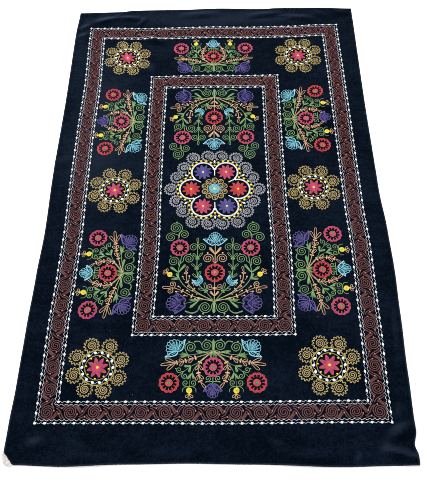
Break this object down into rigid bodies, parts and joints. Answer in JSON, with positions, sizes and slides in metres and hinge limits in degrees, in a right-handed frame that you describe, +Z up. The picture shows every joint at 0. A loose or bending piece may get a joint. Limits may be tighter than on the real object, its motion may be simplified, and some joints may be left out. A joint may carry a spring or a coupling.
{
  "type": "suzani embroidered textile",
  "caption": "Flat velvet suzani with a narrow turned hem, soft edge creases, chain-stitch scroll borders, rosettes and flower sprays, and a small pale corner tab.",
  "frame": {"origin": "on the underside, below the middle of the round medallion", "axes": "+Y along the cloth to its far end, +X across it to the right, +Z up out of the embroidered face"},
  "size_m": [1.3884, 2.1658, 0.0114],
  "materials": {
    "velvet": "matt cut pile, blue-black",
    "pale_cotton": "plain weave, unbleached",
    "white_thread": "chain stitch, soft sheen",
    "grey_thread": "chain stitch, soft sheen",
    "rust_thread": "chain stitch, soft sheen",
    "ember_thread": "chain stitch, soft sheen",
    "gold_thread": "chain stitch, soft sheen",
    "yellow_thread": "chain stitch, soft sheen",
    "copper_thread": "chain stitch, soft sheen",
    "green_thread": "chain stitch, soft sheen",
    "red_thread": "chain stitch, soft sheen",
    "pink_thread": "chain stitch, soft sheen",
    "salmon_thread": "chain stitch, soft sheen",
    "purple_thread": "chain stitch, soft sheen",
    "turquoise_thread": "chain stitch, soft sheen"
  },
  "bodies": {
    "root": {"velvet_cloth": "velvet", "corner_tab": "pale_cotton"}
  },
  "joints": []
}
